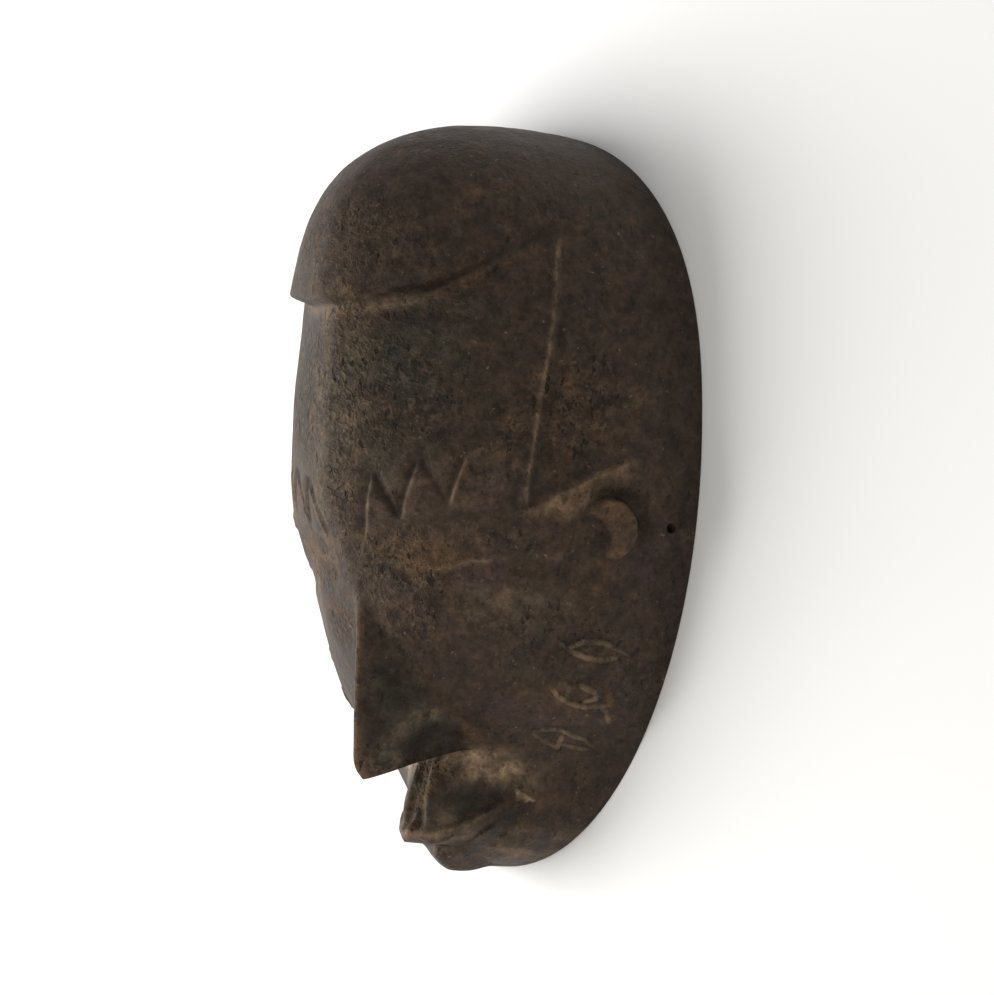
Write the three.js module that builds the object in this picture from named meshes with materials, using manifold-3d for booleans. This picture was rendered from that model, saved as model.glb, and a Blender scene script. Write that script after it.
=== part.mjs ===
import * as THREE from 'three';
import { ConvexGeometry } from 'three/addons/geometries/ConvexGeometry.js';
import { ParametricGeometry } from 'three/addons/geometries/ParametricGeometry.js';
import { mergeVertices } from 'three/addons/utils/BufferGeometryUtils.js';
import Module from 'manifold-3d';

// A carved wooden face mask, lying on its back, in millimetres.
// X runs across the face, Y up the face to the crown and Z out of it. The flat rim lies on Z = 0.
// One block of wood, carved alike on both sides of X = 0.

// The egg-shaped rim
const rim = {
  top: 144,
  bottom: -142,
  half: 89.5,
  widestAt: 21,
  upperRound: { along: 2.5, across: 2.2 },
  lowerRound: { along: 2, across: 2 },
};

// Depth of the midline over the rim: a domed crown, then stations down the face, [Y, depth]
const crown = { from: 60, depth: 109, roundness: 2.6 };
const faceDepths = [
  [-142, 33], [-132, 38.5], [-124, 41], [-113, 44], [-104, 47], [-96, 52.5], [-85, 64], [-62, 81],
  [-40, 91.5], [-26, 98], [-8, 106.5], [20, 108.5], [60, 109],
];
const jawRound = 11;

// How full a cross-section is: 2 is an ellipse, less is keeled along the middle, [Y, power]
const fullness = [
  [-142, 2.05], [-133, 1.6], [-122, 1.28], [-108, 1.12], [-98, 1.18], [-82, 1.48], [-56, 1.46],
  [13.5, 1.48], [69.5, 1.45], [144, 1.9],
];

// Hair cap: its lower edge, [distance from the middle, Y], stands proud and eases back up the crown
const hair = {
  line: [[0, 64.5], [15, 66], [34, 70.5], [48, 81], [60, 92.5], [80, 104]],
  proud: 5.6,
  cove: 4.2,
  easeUp: 30,
  easeDown: 22,
  stepHalf: 1.7,
};

// Wedge nose: its ridge from brow to tip, the two wing ends and the flat, drooping underside
const nose = {
  ridge: [[-37, 91.5], [-78.5, 91], [-99, 88.7], [-108.4, 83.5], [-110.2, 79]],
  wing: [[2.5, -40, 86], [14, -79, 63.5], [16.5, -97.7, 39]],
  root: [[2, -42, 83], [12, -80, 55], [12.5, -95, 37]],
};

// Scooped side of the nose over each wing
const nostril = { x: 12, y: -95, z: 56, radius: 15, depth: 3.2 };

// Beak mouth: the lower edge of the upper lip, by distance from the middle
const lip = {
  top: -101,
  edgeHeight: [[0, -131], [4, -133.2], [7.5, -133.6], [12.5, -131.4], [16.6, -129.1], [21.2, -124.8],
    [24.4, -121.4], [27, -116.4], [31, -110], [50, -104], [90, -100]],
  edgeDepth: [[0, 58.8], [4, 55.5], [7.5, 51.2], [12.5, 47.3], [16.6, 43], [21.2, 37.6],
    [24.4, 31], [27, 24], [31, 14]],
  setBack: 8,
  roll: { height: 3, at: 0.16, width: 0.14 },
  scoop: { depth: 3.8, x: 15.5, across: 5.5, at: 0.42, along: 0.2 },
  shoulder: { height: 3.5, x: 8, across: 3.6, at: 0.45, along: 0.32 },
  channelDepth: 3.2,
  channelHalf: 3,
  halfWidth: 29,
  wallHalf: 0.5,
};

// Lower lip and chin, one wedge that juts below the rim
const chin = {
  ridge: [[-142, 29], [-139.8, 36], [-137, 41.5], [-134, 42.5], [-120, 43.5]],
  slope: [[-142, 1.2], [-137, 0.9], [-134, 0.64], [-130, 0.42], [-126, 0.45], [-121, 0.58], [-117, 0.66]],
  groove: [[-142, 4.5], [-138.5, 7.5], [-134, 13], [-130, 18.3], [-124, 23.5], [-117, 27]],
  top: -117,
  jut: 2.6,
};

// Temple: a raised line down the forehead's edge, and a sunk panel behind it over a slanting line
const temple = {
  line: [[60.5, 92], [62.2, 66], [61.5, 38], [59.8, 14], [57, -11]],
  slant: [[57, -11], [68.5, -1.5], [76, 5.5], [83.5, 13]],
  sunk: 2.2,
  reach: 30,
  stepHalf: 1,
};

// Ear: a thick crescent open to the front, standing in a scooped dish
const ear = {
  x: 73.7,
  y: -17,
  radius: 11.4,
  bite: { radius: 9.7, back: 9.3, down: 5.1 },
  height: 3,
  rootDepth: 6,
  bevel: 1.2,
  sides: 24,
  dish: { x: 78.2, y: -8.5, radius: 22, depth: 3.2 },
};

// Downcast eye: a thin lid line over a shallow dish, with a soft ball below it
const eye = {
  lidLine: [[31, -32.5], [37, -31], [44, -29.5], [55, -27]],
  dish: { x: 36.5, y: -38.5, height: -1.8, radius: 9 },
  ball: { x: 25, y: -48, height: 1.8, radius: 12 },
};

// Row of strokes cut over the brow, and the raised lens marks down the cheek
const zigzag = [[9, -22], [16.3, 1.5], [22, -16.2], [30.5, 6], [37, -10.5], [43.4, 8]];
const zigzagCut = { width: 1.8, depth: 1.4 };
const cheekMarks = [
  { from: [56.8, -59], to: [70.5, -62] },
  { from: [51.6, -75], to: [63.6, -80.3] },
  { from: [38.3, -91], to: [50.9, -97] },
];
const cheekMark = { halfWidth: 3, bar: 1.7, height: 1 };
const linePlain = { width: 2, height: 0.9 };

// Hole for the tie, through each side wall
const tieHole = { x: 84.5, y: -15, z: 12, radius: 2, sides: 12, length: 40 };

// The hollow back is a smaller copy of the outer form
const hollow = { across: 0.875, along: 0.905, deep: 0.87 };

// Fineness of the facets: rows from crown to chin and columns from the middle to the rim
const facets = {
  rows: [15, 1, 11, 1, 9, 5, 1, 6],
  columns: [11, 1, 9],
  crowd: 2.3,
  crowdToRim: 1.3,
  hollowAcross: 20,
  hollowRows: 18,
  barSteps: 3,
  dishSides: 14,
};

const wood = new THREE.MeshStandardMaterial({ color: 0x2e251d, roughness: 0.7, metalness: 0 });

const wasm = await Module();
wasm.setup();

function clamp(value, low, high) {
  return Math.min(Math.max(value, low), high);
}

function smoothStep(from, to, value) {
  const t = clamp((value - from) / (to - from), 0, 1);
  return t * t * (3 - 2 * t);
}

// 1 at the middle, fading to nothing beyond twice the width
function bell(distance, width) {
  return Math.exp(-((distance / width) ** 2));
}

// The larger of two heights, with a rounded valley where they meet
function blendMax(a, b, radius) {
  const apart = Math.min(Math.abs(a - b) / radius, 1);
  return Math.max(a, b) + radius * (1 - apart) ** 2 / 4;
}

// A smooth curve through stations that are in rising order, level beyond both ends
function smoothThrough(stations) {
  const at = stations.map(([where]) => where);
  const value = stations.map(([, height]) => height);
  const rise = at.slice(1).map((next, i) => (value[i + 1] - value[i]) / (next - at[i]));
  const slope = at.map((_, i) => {
    if (i === 0) return rise[0];
    if (i === at.length - 1) return rise[i - 1];
    const before = at[i] - at[i - 1];
    const after = at[i + 1] - at[i];
    return (rise[i - 1] * after + rise[i] * before) / (before + after);
  });
  return (where) => {
    const w = clamp(where, at[0], at[at.length - 1]);
    const i = clamp(at.findIndex((next) => next >= w) - 1, 0, at.length - 2);
    const span = at[i + 1] - at[i];
    const t = (w - at[i]) / span;
    const start = (1 + 2 * t) * (1 - t) ** 2 * value[i] + t * (1 - t) ** 2 * span * slope[i];
    const end = t * t * (3 - 2 * t) * value[i + 1] + t * t * (t - 1) * span * slope[i + 1];
    return start + end;
  };
}

const templeEdge = smoothThrough(temple.line.map(([x, y]) => [y, x]).reverse());
const slantEdge = smoothThrough([[0, -16], [40, -13], ...temple.slant, [90, 18]]);
const faceDepth = smoothThrough(faceDepths);
const sectionPower = smoothThrough(fullness);
const hairLine = smoothThrough(hair.line);
const lipEdge = smoothThrough(lip.edgeHeight);
const lipDepth = smoothThrough(lip.edgeDepth);
const chinRidge = smoothThrough(chin.ridge);
const chinSlope = smoothThrough(chin.slope);
const chinGroove = smoothThrough(chin.groove);

function halfWidth(y) {
  const upper = y > rim.widestAt;
  const reach = upper ? rim.top - rim.widestAt : rim.widestAt - rim.bottom;
  const round = upper ? rim.upperRound : rim.lowerRound;
  const t = clamp(Math.abs(y - rim.widestAt) / reach, 0, 1);
  return rim.half * (1 - t ** round.along) ** (1 / round.across);
}

function midDepth(y) {
  if (y > crown.from) {
    const t = clamp((y - crown.from) / (rim.top - crown.from), 0, 1);
    return crown.depth * (1 - t ** crown.roundness) ** (1 / crown.roundness);
  }
  const t = clamp((y - rim.bottom) / jawRound, 0, 1);
  return faceDepth(y) * Math.sqrt(1 - (1 - t) ** 2);
}

// The plain egg-shaped shell: side runs from -1 at one rim to 1 at the other
function shellPoint(side, y) {
  const power = sectionPower(y);
  const depth = midDepth(y) * (1 - Math.abs(side) ** power) ** (1 / power);
  return new THREE.Vector3(side * halfWidth(y), y, depth);
}

function shellNormal(side, y) {
  const step = 1e-3;
  const inward = side > 0 ? -step : step;
  const toMiddle = y > 0 ? -step : step;
  const here = shellPoint(side, y);
  const across = shellPoint(side + inward, y).sub(here).divideScalar(inward);
  const along = shellPoint(side, y + toMiddle).sub(here).divideScalar(toMiddle);
  return across.cross(along).normalize();
}

// A place on the shell given in front view
function onShell(x, y) {
  const side = clamp(x / halfWidth(y), -1, 1);
  return { point: shellPoint(side, y), normal: shellNormal(side, y) };
}

function hairRelief(away, y) {
  const above = (y - hairLine(away)) * 0.9;
  const lipUp = hair.proud * (1 - 0.65 * smoothStep(28, 58, away)) * (1 - smoothStep(60, 68, away));
  const coveDown = hair.cove * smoothStep(62, 30, away);
  const step = smoothStep(-hair.stepHalf, hair.stepHalf, above);
  const lipHere = lipUp * step * Math.exp(-Math.max(above, 0) / hair.easeUp) * smoothStep(140, 110, y);
  return lipHere - coveDown * (1 - step) * Math.exp(Math.min(above, 0) / hair.easeDown);
}

// The panel is sunk behind the upright line and over the slanting one, and dies out to the rim
function templeRelief(away, y) {
  const { sunk, reach, stepHalf } = temple;
  const behind = smoothStep(-stepHalf, stepHalf, away - templeEdge(y));
  const over = smoothStep(-stepHalf, stepHalf, y - slantEdge(away));
  const below = smoothStep(104, 78, y + 0.4 * (away - 60));
  const fade = 1 - smoothStep(reach * 0.3, reach, away - templeEdge(y));
  return -sunk * behind * over * below * fade;
}

function eyeRelief(away, y) {
  return [eye.dish, eye.ball].reduce((relief, soft) => {
    const apart = Math.hypot(away - soft.x, y - soft.y) / soft.radius;
    return relief + soft.height * bell(apart, 1);
  }, 0);
}

function upperLipRise(away, y, depth) {
  const edge = lipEdge(away);
  const up = clamp((y - edge) / (lip.top - edge), 0, 1);
  const inChannel = bell(away, lip.channelHalf) * smoothStep(0.06, 0.22, up);
  const channel = lip.channelDepth * inChannel;
  const beyond = Math.max(y - lip.top, 0) * 1.5 + Math.max(away - lip.halfWidth, 0) * 3;
  const roll = lip.roll.height * bell(up - lip.roll.at, lip.roll.width) * smoothStep(26, 14, away);
  const { scoop } = lip;
  const scooped = scoop.depth * bell(away - scoop.x, scoop.across) * bell(up - scoop.at, scoop.along);
  const { shoulder } = lip;
  const onShoulder = bell(away - shoulder.x, shoulder.across) * bell(up - shoulder.at, shoulder.along);
  const raised = shoulder.height * onShoulder;
  const front = lipDepth(away) - lip.setBack * up ** 1.6 * (1 - away / 45) + roll + raised - scooped;
  const surface = front - channel - beyond;
  const keep = y > edge ? 1 : 0;
  return keep * Math.max(blendMax(depth, surface, 5) - depth, 0);
}

function chinRise(away, y, depth) {
  const beyond = Math.max(away - 30, 0) * 3 + Math.max(y - chin.top, 0) * 2;
  const surface = chinRidge(y) - chinSlope(y) * away - beyond;
  const within = smoothStep(1.5, -1.5, away - chinGroove(y)) * smoothStep(2, 16, depth);
  return within * Math.max(blendMax(depth, surface, 1.5) - depth, 0);
}

// The carved skin: relief raised along the shell's normal, then the mouth and chin that stand out
function skinPoint(side, y) {
  const point = shellPoint(side, y);
  const away = Math.abs(point.x);
  const depth = point.z;
  const relief = hairRelief(away, y) + templeRelief(away, y) + eyeRelief(away, y);
  point.addScaledVector(shellNormal(side, y), relief * smoothStep(2, 12, depth));
  point.z += Math.max(upperLipRise(away, y, depth), chinRise(away, y, depth));
  const low = smoothStep(-134, -141, y) * smoothStep(20, 3, away);
  point.y -= chin.jut * low * smoothStep(12, 30, point.z);
  return point;
}

// Rows of facets run between these lines across the face, so the steps fall on true edges
function rowLines(away) {
  return [
    rim.top,
    hairLine(away) + hair.stepHalf / 0.9,
    hairLine(away) - hair.stepHalf / 0.9,
    slantEdge(away) + temple.stepHalf,
    slantEdge(away) - temple.stepHalf,
    lip.top + 0.12 * away,
    lipEdge(away) + lip.wallHalf,
    lipEdge(away) - lip.wallHalf,
    rim.bottom,
  ];
}

// Steps along a list of zones, each with its own count of facets
function zoneAt(step, counts) {
  let zone = 0;
  let left = step;
  while (zone < counts.length - 1 && left > counts[zone]) {
    left -= counts[zone];
    zone += 1;
  }
  return { zone, share: clamp(left / counts[zone], 0, 1) };
}

function rowHeight(row, away) {
  const { zone, share } = zoneAt(row, facets.rows);
  const lines = rowLines(away);
  const crowded = [share ** facets.crowd, ...Array(facets.rows.length - 2).fill(share)];
  crowded.push(1 - (1 - share) ** facets.crowd);
  return lines[zone] + (lines[zone + 1] - lines[zone]) * crowded[zone];
}

// Columns of facets run down the face, one pair of them along the temple line
function columnSide(column, row) {
  const { zone, share } = zoneAt(Math.abs(column), facets.columns);
  const y = clamp(rowHeight(row, temple.line[0][0]), -60, 110);
  const edge = templeEdge(y) / halfWidth(y);
  const half = temple.stepHalf / halfWidth(y);
  const lines = [0, edge - half, edge + half, 1];
  const crowded = zone === 2 ? 1 - (1 - share) ** facets.crowdToRim : share;
  return Math.sign(column) * (lines[zone] + (lines[zone + 1] - lines[zone]) * crowded);
}

const sum = (counts) => counts.reduce((total, count) => total + count, 0);
const rowCount = sum(facets.rows);
const columnCount = sum(facets.columns);

// Closed meshes are built from sheets of the same corners, so every triangle of no area is left out
function triangles(geometry, keepSide) {
  const position = geometry.getAttribute('position');
  const corners = (index) => new THREE.Vector3().fromBufferAttribute(position, index);
  const list = [];
  const order = geometry.getIndex().array;
  for (let i = 0; i < order.length; i += 3) {
    const face = [corners(order[i]), corners(order[i + 1]), corners(order[i + 2])];
    if (!keepSide) face.reverse();
    list.push(face);
  }
  return list;
}

function solidFrom(faces) {
  const real = faces.filter(([a, b, c]) => {
    const near = 1e-4;
    return a.distanceTo(b) > near && b.distanceTo(c) > near && c.distanceTo(a) > near;
  });
  const geometry = new THREE.BufferGeometry();
  const numbers = real.flatMap((face) => face.flatMap((corner) => corner.toArray()));
  geometry.setAttribute('position', new THREE.Float32BufferAttribute(numbers, 3));
  return toSolid(geometry);
}

function toSolid(geometry) {
  const bare = geometry.clone();
  bare.deleteAttribute('normal');
  bare.deleteAttribute('uv');
  const merged = mergeVertices(bare, 1e-4);
  return new wasm.Manifold(new wasm.Mesh({
    numProp: 3,
    vertProperties: new Float32Array(merged.getAttribute('position').array),
    triVerts: new Uint32Array(merged.getIndex().array),
  }));
}

function toGeometry(solid) {
  const mesh = solid.getMesh();
  const geometry = new THREE.BufferGeometry();
  geometry.setAttribute('position', new THREE.Float32BufferAttribute(mesh.vertProperties, 3));
  geometry.setIndex(new THREE.Uint32BufferAttribute(mesh.triVerts, 1));
  return geometry;
}

// Carved skin, hollow back and the flat rim between them
function maskBlock() {
  const skin = new ParametricGeometry((u, v, target) => {
    const row = v * rowCount;
    const side = columnSide((2 * u - 1) * columnCount, row);
    const away = Math.abs(side) * halfWidth(rowHeight(row, 0));
    target.copy(skinPoint(side, rowHeight(row, away)));
  }, 2 * columnCount, rowCount);

  const middle = (rim.top + rim.bottom) / 2;
  const half = (rim.top - rim.bottom) / 2;
  const hollowHeight = (v) => middle + half * Math.cos(Math.PI * v);
  const back = new ParametricGeometry((u, v, target) => {
    const point = shellPoint(Math.sin(Math.PI * (u - 0.5)), hollowHeight(v));
    target.set(point.x * hollow.across, middle + (point.y - middle) * hollow.along, point.z * hollow.deep);
  }, facets.hollowAcross, facets.hollowRows);

  const edgeOf = (geometry, across, rows) => {
    const position = geometry.getAttribute('position');
    const corner = (row, column) => {
      return new THREE.Vector3().fromBufferAttribute(position, row * (across + 1) + column);
    };
    const left = Array.from({ length: rows + 1 }, (_, row) => corner(row, 0));
    const right = Array.from({ length: rows - 1 }, (_, i) => corner(rows - 1 - i, across));
    return [...left, ...right];
  };
  const outer = edgeOf(skin, 2 * columnCount, rowCount);
  const inner = edgeOf(back, facets.hollowAcross, facets.hollowRows).reverse();
  const flat = (corners) => corners.map((corner) => new THREE.Vector2(corner.x, corner.y));
  const ring = [...outer, ...inner];
  const rimFaces = THREE.ShapeUtils.triangulateShape(flat(outer), [flat(inner)])
    .map((face) => face.map((index) => ring[index]))
    .map(([a, b, c]) => (b.clone().sub(a).cross(c.clone().sub(a)).z > 0 ? [a, c, b] : [a, b, c]));
  return solidFrom([...triangles(skin, false), ...triangles(back, true), ...rimFaces]);
}

// A bar of four-sided section along places on the shell, thinning to its ends
function bar(places, width, top, root) {
  const rings = places.map(({ point, normal }, i) => {
    const before = places[Math.max(i - 1, 0)].point;
    const after = places[Math.min(i + 1, places.length - 1)].point;
    const across = after.clone().sub(before).cross(normal).normalize();
    const thin = 0.35 + 0.65 * Math.sin((Math.PI * i) / (places.length - 1)) ** 0.5;
    return [[-0.5, -root], [0.5, -root], [0.5 * width.taper, top], [-0.5 * width.taper, top]]
      .map(([aside, lift]) => point.clone()
        .addScaledVector(across, aside * width.base * thin)
        .addScaledVector(normal, lift > 0 ? lift * thin : lift));
  });
  const faces = [];
  for (let i = 0; i < rings.length - 1; i += 1) {
    for (let side = 0; side < 4; side += 1) {
      const next = (side + 1) % 4;
      faces.push([rings[i][side], rings[i + 1][side], rings[i + 1][next]]);
      faces.push([rings[i][side], rings[i + 1][next], rings[i][next]]);
    }
  }
  const [first, last] = [rings[0], rings[rings.length - 1]];
  faces.push([first[0], first[1], first[2]], [first[0], first[2], first[3]]);
  faces.push([last[0], last[2], last[1]], [last[0], last[3], last[2]]);
  return outward(faces);
}

// Turns the faces round where their volume comes out negative
function outward(faces) {
  const volume = faces.reduce((sum, [a, b, c]) => sum + a.dot(b.clone().cross(c)), 0);
  return solidFrom(volume < 0 ? faces.map((face) => [...face].reverse()) : faces);
}

// Places along a front-view line, on one side of the face
function placesAlong(stops, side, steps = facets.barSteps) {
  const places = [];
  for (let i = 0; i < stops.length - 1; i += 1) {
    for (let step = 0; step < steps; step += 1) {
      const t = step / steps;
      const x = stops[i][0] + (stops[i + 1][0] - stops[i][0]) * t;
      const y = stops[i][1] + (stops[i + 1][1] - stops[i][1]) * t;
      places.push(onShell(side * x, y));
    }
  }
  const end = stops[stops.length - 1];
  places.push(onShell(side * end[0], end[1]));
  return places;
}

function raisedLine(stops, side) {
  return bar(placesAlong(stops, side, 3), { base: linePlain.width, taper: 0.4 }, linePlain.height, 3);
}

function zigzagStrokes(side) {
  return zigzag.slice(1).map((end, i) => {
    const places = placesAlong([zigzag[i], end], side);
    return bar(places, { base: 0.1, taper: zigzagCut.width * 20 }, 1, zigzagCut.depth);
  });
}

// One lens-shaped mark: two bowed bars that meet at its points
function cheekLens({ from, to }, side) {
  const along = new THREE.Vector2(to[0] - from[0], to[1] - from[1]);
  const aside = new THREE.Vector2(-along.y, along.x).normalize();
  return [-1, 1].map((bow) => {
    const stops = [0, 0.25, 0.5, 0.75, 1].map((t) => {
      const out = bow * cheekMark.halfWidth * Math.sin(Math.PI * t);
      return [from[0] + along.x * t + aside.x * out, from[1] + along.y * t + aside.y * out];
    });
    return bar(placesAlong(stops, side, 1), { base: cheekMark.bar, taper: 0.5 }, cheekMark.height, 2.5);
  });
}

// The ear's crescent: a low drum with a smaller round bitten out of its front
function earCrescent(side) {
  const { point, normal } = onShell(side * ear.x, ear.y);
  const up = new THREE.Vector3(0, 1, 0).addScaledVector(normal, -normal.y).normalize();
  const toRight = up.clone().cross(normal);
  const { radius, bite, height, rootDepth, bevel, sides } = ear;
  const tall = height + rootDepth;
  const drum = new THREE.CylinderGeometry(radius - bevel, radius, tall, sides);
  const bitten = new THREE.CylinderGeometry(bite.radius + bevel, bite.radius, tall + 2, sides);
  for (const round of [drum, bitten]) {
    round.rotateX(Math.PI / 2);
    round.translate(0, 0, tall / 2 - rootDepth);
  }
  bitten.translate(-side * bite.back, -bite.down, 0);
  const setOnFace = new THREE.Matrix4().makeBasis(toRight, up, normal).setPosition(point);
  drum.applyMatrix4(setOnFace);
  bitten.applyMatrix4(setOnFace);
  return toSolid(drum).subtract(toSolid(bitten));
}

// A ball that scoops a shallow dish out of the face
function dishCutter({ x, y, radius, depth }, side) {
  const { point, normal } = onShell(side * x, y);
  const ball = new THREE.SphereGeometry(radius, facets.dishSides * 2, facets.dishSides);
  const place = point.addScaledVector(normal, radius - depth);
  ball.translate(place.x, place.y, place.z);
  return toSolid(ball);
}

function noseWedge() {
  const pairs = [...nose.wing, ...nose.root].flatMap(([x, y, z]) => [[x, y, z], [-x, y, z]]);
  const ridge = nose.ridge.map(([y, z]) => [0, y, z]);
  const corners = [...ridge, ...pairs].map((corner) => new THREE.Vector3(...corner));
  return toSolid(new ConvexGeometry(corners));
}

function nostrilCutter(side) {
  const { x, y, z, radius, depth } = nostril;
  const away = new THREE.Vector3(side * 0.86, 0, 0.5).normalize();
  const ball = new THREE.SphereGeometry(radius, facets.dishSides * 2, facets.dishSides);
  const place = new THREE.Vector3(side * x, y, z).addScaledVector(away, radius - depth);
  ball.translate(place.x, place.y, place.z);
  return toSolid(ball);
}

function tieHoleCutter(side) {
  const drill = new THREE.CylinderGeometry(tieHole.radius, tieHole.radius, tieHole.length, tieHole.sides);
  drill.rotateZ(Math.PI / 2);
  drill.translate(side * tieHole.x, tieHole.y, tieHole.z);
  return toSolid(drill);
}

function carvedMask() {
  const sides = [-1, 1];
  const scoopedNose = sides.reduce((wedge, side) => wedge.subtract(nostrilCutter(side)), noseWedge());
  let mask = maskBlock().add(scoopedNose);
  for (const side of sides) {
    mask = mask.subtract(dishCutter(ear.dish, side));
    const raised = [
      raisedLine(temple.line, side),
      raisedLine(temple.slant, side),
      raisedLine(eye.lidLine, side),
      earCrescent(side),
      ...cheekMarks.flatMap((mark) => cheekLens(mark, side)),
    ];
    for (const piece of raised) mask = mask.add(piece);
    for (const piece of zigzagStrokes(side)) mask = mask.subtract(piece);
    mask = mask.subtract(tieHoleCutter(side));
  }
  return mask;
}

const mask = new THREE.Mesh(toGeometry(carvedMask()), wood);
mask.name = 'mask';

const part = new THREE.Group();
part.add(mask);

export default part;
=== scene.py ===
import math

import bmesh
import bpy
import numpy as np
from mathutils import Matrix, Vector, noise


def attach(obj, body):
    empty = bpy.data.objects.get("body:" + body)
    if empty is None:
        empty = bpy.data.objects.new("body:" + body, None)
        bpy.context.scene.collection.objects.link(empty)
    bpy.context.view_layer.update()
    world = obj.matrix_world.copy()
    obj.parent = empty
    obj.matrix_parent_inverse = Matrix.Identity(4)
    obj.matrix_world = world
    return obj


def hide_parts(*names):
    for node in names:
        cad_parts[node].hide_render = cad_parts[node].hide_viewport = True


# A carved wooden face mask on a pale floor. The form is worked out in millimetres, in the frame's axes:
# X across the face, Y up to the crown, Z out of the face, with the rim on the floor.

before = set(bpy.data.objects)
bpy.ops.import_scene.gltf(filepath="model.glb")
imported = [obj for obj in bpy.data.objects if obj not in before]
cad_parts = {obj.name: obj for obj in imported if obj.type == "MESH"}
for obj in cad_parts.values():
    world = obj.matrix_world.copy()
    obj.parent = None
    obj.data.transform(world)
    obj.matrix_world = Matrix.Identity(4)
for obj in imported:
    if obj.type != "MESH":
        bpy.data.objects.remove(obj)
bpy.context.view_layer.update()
print("frame loaded")

mm = 0.001  # one millimetre, in metres

for startObject in ("Cube", "Light", "Camera"):
    if startObject in bpy.data.objects:
        bpy.data.objects.remove(bpy.data.objects[startObject])


# Curves and blends

def smoothStep(low, high, value):
    t = np.clip((value - low) / (high - low), 0, 1)
    return t * t * (3 - 2 * t)


def ramp(low, high, value):
    return np.clip((value - low) / (high - low), 0, 1)


def bell(distance, radius):
    return np.exp(-((distance / radius) ** 2))


def softMax(a, b, radius):
    apart = np.minimum(np.abs(a - b) / radius, 1)
    return np.maximum(a, b) + radius * (1 - apart) ** 2 / 4


# A smooth curve through stations, level beyond both ends
def smoothThrough(stations):
    at, value = np.array(sorted(stations), float).T
    gap = np.diff(at)
    rise = np.diff(value) / gap
    inner = (rise[:-1] * gap[1:] + rise[1:] * gap[:-1]) / (gap[:-1] + gap[1:])
    slope = np.concatenate([rise[:1], inner, rise[-1:]])

    def evaluate(where):
        w = np.clip(where, at[0], at[-1])
        i = np.clip(np.searchsorted(at, w) - 1, 0, len(at) - 2)
        t = (w - at[i]) / gap[i]
        start = (1 + 2 * t) * (1 - t) ** 2 * value[i] + t * (1 - t) ** 2 * gap[i] * slope[i]
        end = t * t * (3 - 2 * t) * value[i + 1] + t * t * (t - 1) * gap[i] * slope[i + 1]
        return start + end

    return evaluate


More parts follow.
